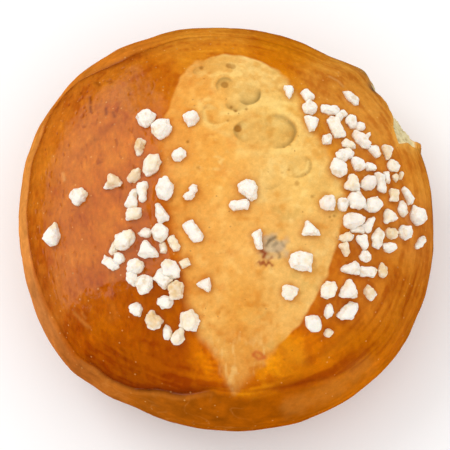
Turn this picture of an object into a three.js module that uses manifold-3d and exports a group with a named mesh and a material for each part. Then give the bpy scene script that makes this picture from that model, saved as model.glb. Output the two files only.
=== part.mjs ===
// A round sweet bun, brushed with egg and baked with grains of pearl sugar on top.
// Millimetres, +Z up. The origin is the middle of the flat spot that the bun rests on.
// Azimuths are in degrees, counter-clockwise from +X as seen from above.

import * as THREE from 'three';
import Module from 'manifold-3d';
import { ConvexGeometry } from 'three/addons/geometries/ConvexGeometry.js';
import { mergeVertices } from 'three/addons/utils/BufferGeometryUtils.js';

const wasm = await Module();
wasm.setup();

// ---------------------------------------------------------------- driving dimensions

const WIDTH = 100; // across the widest part of the bun
const HEIGHT = 47; // from the table to the top of the crust
const SUGAR_GAP = 0.3; // clearance between a grain and the crust

const GIRTH_RADIUS = 0.498 * WIDTH; // mean radius of the widest ring
const GIRTH_HEIGHT = 0.4 * HEIGHT; // where the widest ring lies
const FOOT_RADIUS = 0.66 * GIRTH_RADIUS; // the flat spot underneath
const DOME_POWER = 2.2; // 2 makes an ellipse, more makes fuller shoulders

// How far the side stands out from a true circle: [azimuth, millimetres].
const SIDE_SWELL = [
  [0, -0.4], [20, 0.2], [40, 0], [50, 0.5], [60, -1], [90, -0.7], [110, 0.4], [122, 1.3],
  [137, 1.9], [150, 1.6], [160, 1], [175, 0], [190, -0.4], [222, 0.6], [232, -0.5],
  [244, -1.6], [262, -1.4], [280, -0.9], [292, -0.2], [308, 0.5], [322, 0.8], [335, 0.2],
];

// The shoulder crease, where the glazed dome ends and the bare side begins:
// [azimuth, how far inside the girth it runs, how deep it is].
const CREASE = [
  [0, 3.5, 0], [50, 4.5, 0.1], [90, 4.5, 0.3], [122, 5, 0.6], [142, 0.8, 0.5],
  [155, 2, 0.5], [185, 2.2, 0.5], [210, 3.2, 0.6], [240, 2.3, 1.3], [252, 4.5, 1.5],
  [268, 7.2, 0.6], [288, 6.6, 0.5], [315, 3.8, 0.6], [335, 3.2, 0.1],
];
const CREASE_WIDTH = 0.012; // as a share of the way from the top to the girth
const LIP = 0.018; // distance from the crease's bottom to its lips, in the same share
const BAND_SWELL = 0.5; // how far the bare side swells out below the crease

// The spot where the bun was torn from its neighbour.
const TEAR = { azimuth: 36, spread: 9, place: 0.86, reach: 0.14, depth: 0.9 };

// Facets of the crust.
const AROUND = 54;
const DOME_ROWS = 14;
const BAND_ROWS = 3;
const UNDERSIDE_ROWS = 6;

// Outlines of the kinds of sugar grain, as seen from above, in half lengths along x and
// half widths along y. The first corner of a pointed kind is its point.
const ROUND = [
  [1, 0.2], [0.55, 0.85], [-0.15, 1], [-0.85, 0.6], [-1, -0.25], [-0.5, -0.9], [0.3, -1], [0.85, -0.6],
];
const NUGGET = [[1, 0.1], [0.6, 0.85], [-0.3, 1], [-0.95, 0.45], [-0.9, -0.45], [-0.25, -1], [0.65, -0.8]];
const BLOCK = [[0.95, 0.6], [0.7, 0.95], [-0.8, 0.9], [-1, 0.5], [-0.9, -0.75], [0.8, -1]];
const BAR = [[1, 0.35], [0.8, 0.9], [-0.8, 1], [-1, 0.3], [-0.85, -0.85], [0.75, -1]];
const WEDGE = [[1, -0.1], [0.85, 0.35], [-0.7, 1], [-1, 0.75], [-0.95, -0.6], [-0.7, -1], [0.8, -0.45]];
const TRIANGLE = [[1, 0], [0.8, 0.3], [-0.75, 1], [-1, 0.8], [-0.9, -0.85], [-0.6, -1], [0.75, -0.25]];
const DROP = [[1, 0], [0.6, 0.5], [-0.1, 0.95], [-0.75, 0.8], [-1, 0], [-0.7, -0.85], [0, -1], [0.65, -0.5]];
const KIDNEY_HEAD = [[1, 0.6], [0.6, 1], [-0.05, 0.75], [-0.2, 0], [0.3, -0.5], [0.9, -0.15]];
const KIDNEY_TAIL = [[0.3, 0.3], [0.25, -0.6], [-0.4, -1], [-0.95, -0.7], [-1, 0.1], [-0.4, 0.55]];

const GRAIN_KINDS = {
  round: [ROUND],
  nugget: [NUGGET],
  block: [BLOCK],
  bar: [BAR],
  wedge: [WEDGE],
  triangle: [TRIANGLE],
  drop: [DROP],
  kidney: [KIDNEY_HEAD, KIDNEY_TAIL],
};
const GRAIN_THICKNESS = { share: 0.66, least: 1.3, most: 3 }; // share of the width
const NECK_RADIUS = 0.55; // the sugar that joins grains baked into one lump

// Where the sugar lies. Each row is one lump of grains that touch each other, and most
// lumps are a single grain: [kind, x, y, length, width, turn of the length].
const LEFT_SUGAR = [
  [['nugget', -34, 3, 4.6, 3.9, 10]],
  [['triangle', -26, 6, 3.7, 4.1, 95]],
  [['nugget', -18.5, 20.5, 4.7, 4.4, 60], ['nugget', -15, 18, 5.5, 5, -50]],
  [['round', -8, 20.5, 3.8, 3.6, 60]],
  [['kidney', -20, 14, 4, 3.2, 50]],
  [['nugget', -11, 11.5, 3.9, 3.4, 30]],
  [['nugget', -17, 9.5, 6, 4.3, 55], ['drop', -21, 7, 4.4, 2.8, 55]],
  [['wedge', -19, 3, 4.9, 3.2, -85]],
  [['wedge', -21.5, 1.5, 5.2, 2.9, 75], ['nugget', -21, -2, 4.2, 3.6, 25]],
  [['nugget', -14, 3.5, 5.4, 4.4, 75]],
  [['kidney', -8, 2.5, 4.2, 3.2, 30]],
  [
    ['wedge', -15, -2, 5.2, 3.4, 110],
    ['nugget', -15, -6.5, 4.2, 4.1, -30],
    ['bar', -14.5, -10, 2.9, 1.8, -75],
    ['kidney', -12, -9, 4.3, 2.8, 95],
  ],
  [['drop', -18.5, -6.5, 3.5, 2.6, 180], ['triangle', -18, -10, 4.9, 4.7, 95]],
  [
    ['nugget', -23, -8, 6, 4.3, 50],
    ['bar', -25.5, -9.5, 3.2, 1.9, 70],
    ['nugget', -24.5, -12, 3, 3, 80],
    ['bar', -26.5, -13, 4.6, 2.5, -35],
  ],
  [
    ['nugget', -20.5, -14, 4.6, 3.4, -10],
    ['nugget', -21.5, -16.5, 4.1, 2.7, -75],
    ['nugget', -18.5, -18, 4.8, 4.1, -70],
  ],
  [
    ['block', -9.5, -13.5, 2.9, 2.5, 25],
    ['nugget', -12.5, -15, 5.8, 4, -45],
    ['block', -14.5, -17, 4.4, 3.7, -35],
    ['block', -11.5, -19.5, 4.6, 4, -80],
    ['nugget', -14, -22, 3.9, 3.2, -10],
  ],
  [['triangle', -4.5, -18, 3.5, 3.2, 60]],
  [['round', -20.5, -23.5, 3.6, 3.5, 0]],
  [['round', -16.5, -26, 4.4, 3.8, -50]],
  [
    ['drop', -13.5, -28.5, 3.9, 2.5, 100],
    ['drop', -11, -29.5, 4.6, 3.4, 60],
    ['round', -8.5, -26, 5, 4.7, 60],
  ],
  [['drop', -40, -5, 6, 4.4, 75]],
  [['bar', -7.5, -6.5, 6, 3.2, -55]],
];

const MIDDLE_SUGAR = [
  [['block', 5, 3, 5.6, 4.6, -80], ['bar', 3, -0.5, 4.6, 2.7, 8]],
  [['wedge', 7, -8.5, 4.6, 3, -80]],
  [['triangle', 19, -6, 4.2, 4.1, -25]],
  [['nugget', 16.5, -13, 6.6, 4.5, -5]],
  [['nugget', 14, -20, 3.9, 3.6, -20]],
];

const RIGHT_SUGAR = [
  [['wedge', 14.5, 27.5, 3.7, 2.8, -85]],
  [['block', 18.5, 27, 3.5, 2.5, -50], ['round', 19, 23.5, 3.7, 3.5, 0]],
  [['wedge', 19.5, 19.5, 4.6, 3.8, -95]],
  [['bar', 24, 23.5, 5.5, 2.5, -3], ['kidney', 26.5, 22.5, 3.5, 2.5, 20]],
  [['nugget', 29, 21, 4, 3, 100], ['nugget', 31, 20, 3.4, 2.4, 45]],
  [['bar', 25, 19, 6.2, 3.3, -62], ['round', 23, 16, 3, 2.6, 90]],
  [
    ['bar', 32.5, 17.5, 2.9, 1.4, 60],
    ['nugget', 31, 16.5, 5.5, 3.4, -42],
    ['drop', 34, 14, 4.2, 2.7, -50],
  ],
  [
    ['kidney', 28, 15, 3.6, 2.7, -45],
    ['nugget', 27, 12.5, 5, 3, 18],
    ['nugget', 25.5, 9, 4.4, 4, 70],
  ],
  [
    ['wedge', 37, 14, 3.8, 3, -95],
    ['nugget', 38.5, 11, 3.8, 3.3, -10],
    ['triangle', 39, 8, 2.1, 1.9, -70],
  ],
  [['drop', 40.5, 9, 2.3, 1.5, 80]],
  [['nugget', 30, 10.5, 4.1, 3.3, -65], ['nugget', 33, 10, 3.1, 2.6, 20]],
  [
    ['triangle', 28.5, 6, 4.2, 4.1, 90],
    ['nugget', 32.5, 6, 5, 3.6, 50],
    ['bar', 35.5, 6.5, 5.2, 2.8, 95],
    ['bar', 37, 8, 3.3, 1.7, -80],
  ],
  [
    ['nugget', 23, 0.5, 4.5, 3.9, 60],
    ['nugget', 26.5, 0.5, 3.8, 3.1, -75],
    ['nugget', 29.5, 1.5, 4.8, 4.2, -35],
    ['nugget', 33.5, 1, 4.8, 4.1, 40],
  ],
  [['block', 38.5, 4, 3.8, 2.8, -85]],
  [['bar', 42, 4.5, 4.9, 2.4, -62], ['nugget', 40.5, 1, 3.9, 2.7, -85]],
  [['triangle', 37, -1, 4, 3.8, 110]],
  [['nugget', 44, 0, 5, 4.6, -50]],
  [
    ['nugget', 29, -3, 6, 3.9, 14],
    ['wedge', 32.5, -3.5, 4.4, 3, 55],
    ['bar', 30, -5, 3.9, 1.8, 0],
  ],
  [['wedge', 31, -8, 3.9, 3.5, -75], ['nugget', 31.5, -11, 3.2, 3, 20]],
  [['drop', 27, -7, 4.2, 2.3, 200], ['wedge', 27, -10, 3.9, 2.8, -70]],
  [['nugget', 34.5, -6.5, 5.2, 3.2, 75], ['nugget', 37, -8.5, 3.6, 3.1, -10]],
  [['nugget', 38, -5, 3.3, 2.8, 10], ['nugget', 41, -4.5, 4.4, 4, -50]],
  [['kidney', 45, -6, 4.8, 2.4, 45]],
  [
    ['wedge', 28, -14, 5.2, 3.4, 190],
    ['bar', 32, -14.5, 4.9, 2.5, 3],
    ['nugget', 35.5, -14, 3.7, 2.7, -80],
  ],
  [['nugget', 23, -19, 4.6, 4.1, 60]],
  [['triangle', 27.5, -18.5, 4.6, 4.4, 85]],
  [['nugget', 32.5, -19, 4, 3, -55]],
  [['drop', 23, -23.5, 4, 2.4, 80]],
  [['nugget', 27.5, -23.5, 5.9, 3.6, 42]],
  [['nugget', 19.5, -26.5, 4.7, 4.3, -60]],
  [['round', 23, -28.5, 2.4, 2.2, 0]],
  [['drop', 29, 27.5, 5.6, 2.6, 142]],
];

// ---------------------------------------------------------------- materials

const crustMaterial = new THREE.MeshStandardMaterial({ color: 0xc8761f, roughness: 0.35, metalness: 0 });
const sugarMaterial = new THREE.MeshStandardMaterial({ color: 0xf7efe2, roughness: 0.6, metalness: 0 });

// ---------------------------------------------------------------- small helpers

const { PI, sin, cos, asin, atan2, hypot, exp, floor, min, max } = Math;
const FULL_TURN = 360;

// A number from -1 to 1 that is always the same for the same seed.
function wobble(seed) {
  const value = sin(seed * 12.9898 + 4.1) * 43758.5453;
  return 2 * (value - floor(value)) - 1;
}

// The smallest turn from one azimuth to another, from -180 to 180.
function turnBetween(from, to) {
  return ((to - from + 1.5 * FULL_TURN) % FULL_TURN) - FULL_TURN / 2;
}

function bump(distance, spread) {
  return exp(-((distance / spread) ** 2));
}

// Reads one column of a list whose rows start with an azimuth, and eases between rows.
function aroundList(list, azimuth, column) {
  const next = list.findIndex((row) => row[0] > azimuth);
  const after = list[next === -1 ? 0 : next];
  const before = list[next === -1 ? list.length - 1 : next - 1];
  const span = (after[0] - before[0] + FULL_TURN) % FULL_TURN;
  const share = (azimuth - before[0]) / span;
  const eased = share * share * (3 - 2 * share);
  return before[column] + (after[column] - before[column]) * eased;
}

// ---------------------------------------------------------------- the crust

function sideRadius(azimuth) {
  return GIRTH_RADIUS + aroundList(SIDE_SWELL, azimuth, 1);
}

// The crease's place on the way down the dome, from 0 at the top to 1 at the girth.
function creasePlace(azimuth) {
  const share = 1 - aroundList(CREASE, azimuth, 1) / sideRadius(azimuth);
  return asin(share ** (DOME_POWER / 2)) / (PI / 2);
}

// How far the crease, the bare side's swelling and the tear move the crust outwards.
function relief(azimuth, place) {
  const crease = creasePlace(azimuth);
  const groove = aroundList(CREASE, azimuth, 2) * bump(place - crease, CREASE_WIDTH);
  const onBand = place > crease && place < 1;
  const band = onBand ? BAND_SWELL * sin((PI * (place - crease)) / (1 - crease)) : 0;
  const tearAcross = bump(turnBetween(TEAR.azimuth, azimuth), TEAR.spread);
  const tear = TEAR.depth * tearAcross * bump(place - TEAR.place, TEAR.reach);
  return band - groove - tear;
}

// A point of the crust: place runs from 0 at the top over 1 at the girth to 2 at the foot.
function crustPoint(azimuth, place) {
  const angle = (place * PI) / 2;
  const side = sideRadius(azimuth);
  const power = 2 / DOME_POWER;
  let radius;
  let height;
  if (place <= 1) {
    radius = side * sin(angle) ** power;
    height = GIRTH_HEIGHT + (HEIGHT - GIRTH_HEIGHT) * max(cos(angle), 0) ** power;
  } else {
    const foot = (FOOT_RADIUS * side) / GIRTH_RADIUS;
    radius = foot + (side - foot) * sin(angle);
    height = GIRTH_HEIGHT * (1 + cos(angle));
  }
  const push = relief(azimuth, place);
  const outwards = sin(min(angle, PI / 2));
  radius += push * outwards;
  height += place <= 1 ? push * cos(angle) : 0;
  const turn = (azimuth * PI) / 180;
  return new THREE.Vector3(radius * cos(turn), radius * sin(turn), height);
}

// The height of the dome over a point of the plan.
function domeHeight(x, y) {
  const azimuth = ((atan2(y, x) * 180) / PI + FULL_TURN) % FULL_TURN;
  const share = hypot(x, y) / sideRadius(azimuth);
  return GIRTH_HEIGHT + (HEIGHT - GIRTH_HEIGHT) * (1 - share ** DOME_POWER) ** (1 / DOME_POWER);
}

function domeNormal(x, y) {
  const step = 0.05;
  const slopeX = (domeHeight(x + step, y) - domeHeight(x - step, y)) / (2 * step);
  const slopeY = (domeHeight(x, y + step) - domeHeight(x, y - step)) / (2 * step);
  return new THREE.Vector3(-slopeX, -slopeY, 1).normalize();
}

// The place of a row of facets. Three rows always follow the crease and its two lips.
function rowPlace(row, azimuth) {
  const crease = creasePlace(azimuth);
  if (row <= DOME_ROWS) {
    return ((crease - LIP) * row) / DOME_ROWS;
  }
  const lowerLip = DOME_ROWS + 2;
  if (row <= lowerLip) {
    return crease + LIP * (row - DOME_ROWS - 1);
  }
  const girth = lowerLip + BAND_ROWS;
  if (row <= girth) {
    return crease + LIP + ((1 - crease - LIP) * (row - lowerLip)) / BAND_ROWS;
  }
  return 1 + (row - girth) / UNDERSIDE_ROWS;
}

// The whole roll: a ball whose rows of points are moved onto the crust. The ball's
// lowest row closes the flat foot.
function rollGeometry() {
  const footRow = DOME_ROWS + 2 + BAND_ROWS + UNDERSIDE_ROWS;
  const rows = footRow + 1;
  const ball = new THREE.SphereGeometry(1, AROUND, rows);
  const points = ball.attributes.position;
  const grid = ball.attributes.uv;
  for (let i = 0; i < points.count; i += 1) {
    const row = Math.round((1 - grid.getY(i)) * rows);
    const column = Math.round(grid.getX(i) * AROUND) % AROUND;
    const azimuth = (column * FULL_TURN) / AROUND;
    const point = new THREE.Vector3(0, 0, row === 0 ? HEIGHT : 0);
    if (row > 0 && row < rows) {
      point.copy(crustPoint(azimuth, rowPlace(row, azimuth)));
    }
    points.setXYZ(i, point.x, point.y, point.z);
  }
  return closedSurface(ball);
}

// ---------------------------------------------------------------- solids

// A geometry with only its positions, and each corner stored once.
function closedSurface(geometry) {
  const bare = geometry.clone();
  bare.deleteAttribute('normal');
  bare.deleteAttribute('uv');
  return mergeVertices(bare, 1e-4);
}

function solidOf(geometry) {
  const surface = closedSurface(geometry);
  const mesh = new wasm.Mesh({
    numProp: 3,
    vertProperties: new Float32Array(surface.attributes.position.array),
    triVerts: new Uint32Array(surface.index.array),
  });
  return new wasm.Manifold(mesh);
}

function geometryOf(solid) {
  const mesh = solid.getMesh();
  const geometry = new THREE.BufferGeometry();
  geometry.setAttribute('position', new THREE.BufferAttribute(mesh.vertProperties, mesh.numProp));
  geometry.setIndex(new THREE.BufferAttribute(mesh.triVerts, 1));
  return geometry;
}

// ---------------------------------------------------------------- the sugar

// One convex lobe of a grain: a flat underside, a wide belly and a smaller uneven crown.
function lobeGeometry(outline, length, width, thickness, seed) {
  const corners = [];
  outline.forEach(([along, across], index) => {
    const key = seed + index * 7.3;
    const x = (along * length) / 2;
    const y = (across * width) / 2;
    const belly = 1 + 0.06 * wobble(key);
    const crown = 0.62 + 0.12 * wobble(key + 1);
    const bellyHeight = thickness * (0.36 + 0.1 * wobble(key + 2));
    const crownHeight = thickness * (0.88 + 0.12 * wobble(key + 3));
    corners.push(new THREE.Vector3(0.8 * x, 0.8 * y, 0));
    corners.push(new THREE.Vector3(belly * x, belly * y, bellyHeight));
    corners.push(new THREE.Vector3(crown * x, crown * y, crownHeight));
  });
  return new ConvexGeometry(corners);
}

// Stands something on the crust: x along the turned length, z along the crust's normal.
function standOnCrust(x, y, turn) {
  const up = domeNormal(x, y);
  const radians = (turn * PI) / 180;
  const along = new THREE.Vector3(cos(radians), sin(radians), 0);
  along.z = -along.dot(up) / up.z;
  along.normalize();
  const across = up.clone().cross(along);
  const origin = new THREE.Vector3(x, y, domeHeight(x, y)).addScaledVector(up, SUGAR_GAP);
  return new THREE.Matrix4().makeBasis(along, across, up).setPosition(origin);
}

function grainThickness(width) {
  const { share, least, most } = GRAIN_THICKNESS;
  return min(max(share * width, least), most);
}

function grainSolid([kind, x, y, length, width, turn]) {
  const place = standOnCrust(x, y, turn);
  const thickness = grainThickness(width);
  const lobes = GRAIN_KINDS[kind].map((outline, index) => {
    const seed = x * 1.7 + y * 3.1 + index * 50;
    return solidOf(lobeGeometry(outline, length, width, thickness, seed).applyMatrix4(place));
  });
  return lobes.reduce((whole, lobe) => whole.add(lobe));
}

// The point inside a grain where a neck to its neighbour starts.
function grainHeart([, x, y, , width, turn]) {
  const height = max(0.4 * grainThickness(width), NECK_RADIUS + SUGAR_GAP);
  return new THREE.Vector3(0, 0, height).applyMatrix4(standOnCrust(x, y, turn));
}

// A short six-sided bridge of sugar from the heart of one grain to the next.
function neckSolid(from, to) {
  const start = grainHeart(from);
  const end = grainHeart(to);
  const bridge = new THREE.CylinderGeometry(NECK_RADIUS, NECK_RADIUS, start.distanceTo(end), 6);
  const direction = end.clone().sub(start).normalize();
  const turn = new THREE.Quaternion().setFromUnitVectors(new THREE.Vector3(0, 1, 0), direction);
  const middle = start.clone().add(end).multiplyScalar(0.5);
  const place = new THREE.Matrix4().compose(middle, turn, new THREE.Vector3(1, 1, 1));
  return solidOf(bridge.applyMatrix4(place));
}

function sugarLump(name, grains) {
  let solid = grainSolid(grains[0]);
  for (let i = 1; i < grains.length; i += 1) {
    solid = solid.add(grainSolid(grains[i])).add(neckSolid(grains[i - 1], grains[i]));
  }
  const lump = new THREE.Mesh(geometryOf(solid), sugarMaterial.clone());
  lump.name = name;
  return lump;
}

function sugarOn(side, lumps) {
  const sugar = new THREE.Group();
  lumps.forEach((grains, index) => {
    const number = String(index + 1).padStart(2, '0');
    sugar.add(sugarLump(`sugar_${side}_${number}`, grains));
  });
  return sugar;
}

// ---------------------------------------------------------------- the bun

const bun = new THREE.Group();

const roll = new THREE.Mesh(rollGeometry(), crustMaterial);
roll.name = 'roll';
bun.add(roll);

bun.add(sugarOn('left', LEFT_SUGAR));
bun.add(sugarOn('middle', MIDDLE_SUGAR));
bun.add(sugarOn('right', RIGHT_SUGAR));

// The swellings of the side aren't even, so the bun is moved until it is centred.
const middle = new THREE.Box3().setFromObject(bun).getCenter(new THREE.Vector3());
bun.position.set(-middle.x, -middle.y, 0);

export default bun;
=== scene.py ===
"""A round sweet bun with pearl sugar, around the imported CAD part. Metres in Blender, millimetres in sums."""

import math

import bmesh
import bpy
import numpy as np
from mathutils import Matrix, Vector


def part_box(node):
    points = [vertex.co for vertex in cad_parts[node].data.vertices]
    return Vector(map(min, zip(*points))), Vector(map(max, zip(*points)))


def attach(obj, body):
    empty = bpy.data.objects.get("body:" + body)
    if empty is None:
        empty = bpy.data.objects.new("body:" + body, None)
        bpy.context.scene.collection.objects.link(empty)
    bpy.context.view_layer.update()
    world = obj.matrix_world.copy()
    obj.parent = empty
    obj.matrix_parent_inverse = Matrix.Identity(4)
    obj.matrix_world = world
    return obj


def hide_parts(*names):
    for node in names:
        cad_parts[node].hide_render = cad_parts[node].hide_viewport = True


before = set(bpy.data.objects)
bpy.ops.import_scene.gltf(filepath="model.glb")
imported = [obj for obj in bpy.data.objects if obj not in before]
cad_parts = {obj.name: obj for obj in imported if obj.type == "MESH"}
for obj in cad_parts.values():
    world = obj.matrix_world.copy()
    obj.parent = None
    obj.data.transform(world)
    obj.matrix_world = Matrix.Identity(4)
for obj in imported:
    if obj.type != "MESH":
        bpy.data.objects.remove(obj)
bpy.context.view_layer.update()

MM = 0.001

# ---------------------------- the bun's dimensions, as in the CAD part

ROLL_LOW, ROLL_HIGH = (np.array(corner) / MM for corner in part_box("roll"))
WIDTH = 100.0
MEAN_RADIUS = WIDTH / 2
HEIGHT = ROLL_HIGH[2] - ROLL_LOW[2]
GIRTH_RADIUS = 0.498 * WIDTH
GIRTH_HEIGHT = 0.4 * HEIGHT
FOOT_RADIUS = 0.66 * GIRTH_RADIUS
DOME_POWER = 2.2
DOME_ARC = 62.0  # from the top down to the girth, along the crust
GIRTH_DEGREE = 0.87  # one degree of azimuth, along the girth

# How far the side stands out from a true circle: (azimuth, millimetres).
SIDE_SWELL = (
    (0, -0.4), (20, 0.2), (40, 0), (50, 0.5), (60, -1), (90, -0.7), (110, 0.4), (122, 1.3), (137, 1.9),
    (150, 1.6), (160, 1), (175, 0), (190, -0.4), (222, 0.6), (232, -0.5), (244, -1.6), (262, -1.4),
    (280, -0.9), (292, -0.2), (308, 0.5), (322, 0.8), (335, 0.2),
)  # fmt: skip

# The shoulder crease: (azimuth, how far inside the girth it runs).
CREASE = (
    (0, 3.5), (50, 4.5), (90, 4.5), (122, 5), (142, 0.8), (155, 2), (185, 2.2), (210, 3.2), (240, 2.3),
    (252, 4.5), (268, 7.2), (288, 6.6), (315, 3.8), (335, 3.2),
)  # fmt: skip
BAND_SWELL = 0.5  # how far the band below the crease bulges
# How deep the crease is, and how strong the painted shade along it is: (azimuth, millimetres).
FOLD = (
    (0, 0), (40, 0.02), (60, 0.06), (90, 0.1), (110, 0.2), (119, 0.6), (127, 0.8), (138, 0.6), (146, 0.25),
    (157, 0.5), (185, 0.45), (205, 0.2), (222, 0.25), (229, 0.9), (238, 1.4), (252, 1.5), (262, 0.8),
    (268, 0.3), (277, 0.12), (286, 0.3), (294, 0.3), (303, 0.15), (317, 0.12), (335, 0.05),
)  # fmt: skip

# How bare of egg the side below the crease is: (azimuth, share).
BARE = (
    (0, 0.1), (30, 0), (100, 0.2), (118, 0.9), (140, 1), (150, 0.7), (158, 1), (200, 1), (230, 1), (270, 1),
    (300, 0.9), (325, 0.6), (345, 0.3),
)  # fmt: skip

# The torn patch of the side runs between two azimuths, and down to a place just below the girth.
CRUMB_START, CRUMB_END = 23, 45
CRUMB_FOOT = 1.16
# Where the crust ends above it: (azimuth, how far inside the girth).
CRUMB_TOP = ((20, 6.4), (25, 6), (29, 4.8), (33, 3), (37, 1.8), (45, 1.2))

# How many faces lie along each edge of the crust's grid.
QUICK_GRID, FULL_GRID = 120, 280

FAR = 9.0  # stands for a distance that is too far to matter

# ---------------------------- helpers


def linear(screen):
    """Colours as they look on screen, from 0 to 255, as linear light."""
    c = np.asarray(screen, float) / 255
    return np.where(c <= 0.04045, c / 12.92, ((c + 0.055) / 1.055) ** 2.4)


def srgb(red, green, blue):
    return linear((red, green, blue))


def ease(low, high, values):
    """0 below low, 1 above high, and a smooth rise between them."""
    t = np.clip((values - low) / (high - low), 0, 1)
    return t * t * (3 - 2 * t)


def bump(distance, spread):
    return np.exp(-((distance / spread) ** 2))


def mix(colours, target, share):
    """Moves each colour towards the target by its share."""
    return colours + (target - colours) * np.asarray(share)[..., None]


def layered(colours, *layers):
    """Lays colours over each other. Each layer is a screen colour and its share."""
    for tone, share in layers:
        colours = mix(colours, linear(tone), share)
    return colours


def plain(points, tone):
    """One screen colour for every point."""
    return np.broadcast_to(linear(tone), points.shape).copy()


def around_list(rows, azimuth, column=1):
    """Reads one column of rows that start with an azimuth, and eases between them."""
    rows = np.array(rows, float)
    keys = np.append(rows[:, 0], rows[0, 0] + 360)
    values = np.append(rows[:, column], rows[0, column])
    azimuth = (azimuth - keys[0]) % 360 + keys[0]
    i = np.clip(np.searchsorted(keys, azimuth, side="right") - 1, 0, len(rows) - 1)
    share = (azimuth - keys[i]) / (keys[i + 1] - keys[i])
    return values[i] + (values[i + 1] - values[i]) * share * share * (3 - 2 * share)


def blended(tones, plan):
    """A colour for each point of the plan, blended from the tones that lie near it."""
    total, weights = np.zeros((len(plan), 3)), np.zeros((len(plan), 1))
    for x, y, reach, *tone in tones:
        weight = np.exp(-((plan[:, :1] - x) ** 2 + (plan[:, 1:] - y) ** 2) / reach**2) + 1e-9
        total += weight * linear(tone)
        weights += weight
    return total / weights


LATTICE_SIZE = 64
LATTICE_OFFSET = 1000.37  # keeps every sum positive, and the bun's middle off a lattice point
LATTICE = np.random.default_rng(11).random((LATTICE_SIZE,) * 3) * 2 - 1


def noise(points, cell, shift=0.0):
    """Smooth noise from -1 to 1 over points in millimetres. A cell is one number or one per axis."""
    p = points / np.array(cell) + shift + LATTICE_OFFSET
    whole = np.floor(p).astype(int)
    t = p - whole
    t = t * t * (3 - 2 * t)
    total = np.zeros(len(p))
    for corner in np.ndindex(2, 2, 2):
        weight = np.prod(np.where(corner, t, 1 - t), axis=1)
        x, y, z = ((whole + corner) % LATTICE_SIZE).T
        total += weight * LATTICE[x, y, z]
    return total


def cloud(points, cell, octaves=3, shift=0.0):
    """Noise of several sizes, each half the size and 0.55 of the strength of the one before."""
    total, strength = np.zeros(len(points)), 1.0
    for octave in range(octaves):
        total += strength * noise(points, np.array(cell) / 2**octave, shift + 17.3 * octave)
        strength *= 0.55
    return total


def strayed(plan, points, reach, cell, octaves, shifts):
    """The plan with each point moved by up to about the reach, in a cloudy way."""
    return plan + reach * np.stack([cloud(points, cell, octaves, shift) for shift in shifts], 1)


def crystals(points, size, shift=0.0):
    """Distance to the nearest point of a jittered lattice, as a share of the cell's size."""
    p = points / size + shift + LATTICE_OFFSET
    whole = np.floor(p).astype(int)
    best = np.full(len(p), FAR)
    for step in np.ndindex(3, 3, 3):
        cell = whole + step - 1
        x, y, z = (cell % LATTICE_SIZE).T
        seed = np.stack([LATTICE[x, y, z], LATTICE[y, z, x], LATTICE[z, x, y]], 1) * 0.5 + 0.5
        best = np.minimum(best, np.linalg.norm(cell + seed - p, axis=1))
    return best


def path_distance(points, path, closed=False):
    """How far each point of the plan is from a line through the path's points."""
    path = np.array(path, float)
    ends = np.roll(path, -1, axis=0)
    if not closed:
        path, ends = path[:-1], ends[:-1]
    best = np.full(len(points), 1e9)
    for a, b in zip(path, ends):
        along = b - a
        t = np.clip(((points - a) @ along) / max(along @ along, 1e-9), 0, 1)
        best = np.minimum(best, np.hypot(*(points - a - t[:, None] * along).T))
    return best


def inside(points, outline):
    """Whether each point of the plan lies inside a closed outline."""
    outline = np.array(outline, float)
    odd = np.zeros(len(points), bool)
    x, y = points.T
    for (ax, ay), (bx, by) in zip(outline, np.roll(outline, -1, axis=0)):
        if ay != by:
            odd ^= ((ay > y) != (by > y)) & (x < ax + (bx - ax) * (y - ay) / (by - ay))
    return odd


def rounded(outline, steps=4):
    """A closed outline with a smooth curve through its points."""
    p = np.array(outline, float)
    before, after, beyond = np.roll(p, 1, 0), np.roll(p, -1, 0), np.roll(p, -2, 0)
    curve = []
    for t in np.arange(steps) / steps:
        slope = (after - before) * t
        bend = (2 * before - 5 * p + 4 * after - beyond) * t**2
        twist = (3 * p - before - 3 * after + beyond) * t**3
        curve.append(0.5 * (2 * p + slope + bend + twist))
    return np.stack(curve, 1).reshape(-1, 2)


# ---------------------------- the crust's shape


def side_radius(azimuth):
    """How far the girth is from the middle, at an azimuth."""
    return GIRTH_RADIUS + around_list(SIDE_SWELL, azimuth)


def place_inside(inset, azimuth):
    """The place on the dome that lies this far inside the girth, seen from above."""
    share = 1 - inset / side_radius(azimuth)
    return np.arcsin(share ** (DOME_POWER / 2)) / (math.pi / 2)


def smooth_crust(azimuth, place):
    """Points of the crust before its relief.

    Place is 0 at the top, 1 at the girth, 2 at the foot's rim and 3 at the foot's middle.
    """
    angle = np.clip(place, 0, 2) * math.pi / 2
    side = side_radius(azimuth)
    power = 2 / DOME_POWER
    foot = FOOT_RADIUS * side / GIRTH_RADIUS
    upper_radius = side * np.clip(np.sin(angle), 0, 1) ** power
    upper_height = GIRTH_HEIGHT + (HEIGHT - GIRTH_HEIGHT) * np.clip(np.cos(angle), 0, 1) ** power
    below = place > 1
    radius = np.where(below, foot + (side - foot) * np.sin(angle), upper_radius)
    height = np.where(below, GIRTH_HEIGHT * (1 + np.cos(angle)), upper_height)
    under = place > 2
    radius = np.where(under, foot * (3 - place), radius)
    height = np.where(under, 0, height)
    turn = np.radians(azimuth)
    return np.stack([radius * np.cos(turn), radius * np.sin(turn), height], 1)


def dome_height(x, y):
    """How high the smooth dome is over a point of the plan."""
    azimuth = np.degrees(np.arctan2(y, x)) % 360
    share = np.clip(np.hypot(x, y) / side_radius(azimuth), 0, 0.999)
    return GIRTH_HEIGHT + (HEIGHT - GIRTH_HEIGHT) * (1 - share**DOME_POWER) ** (1 / DOME_POWER)


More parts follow.
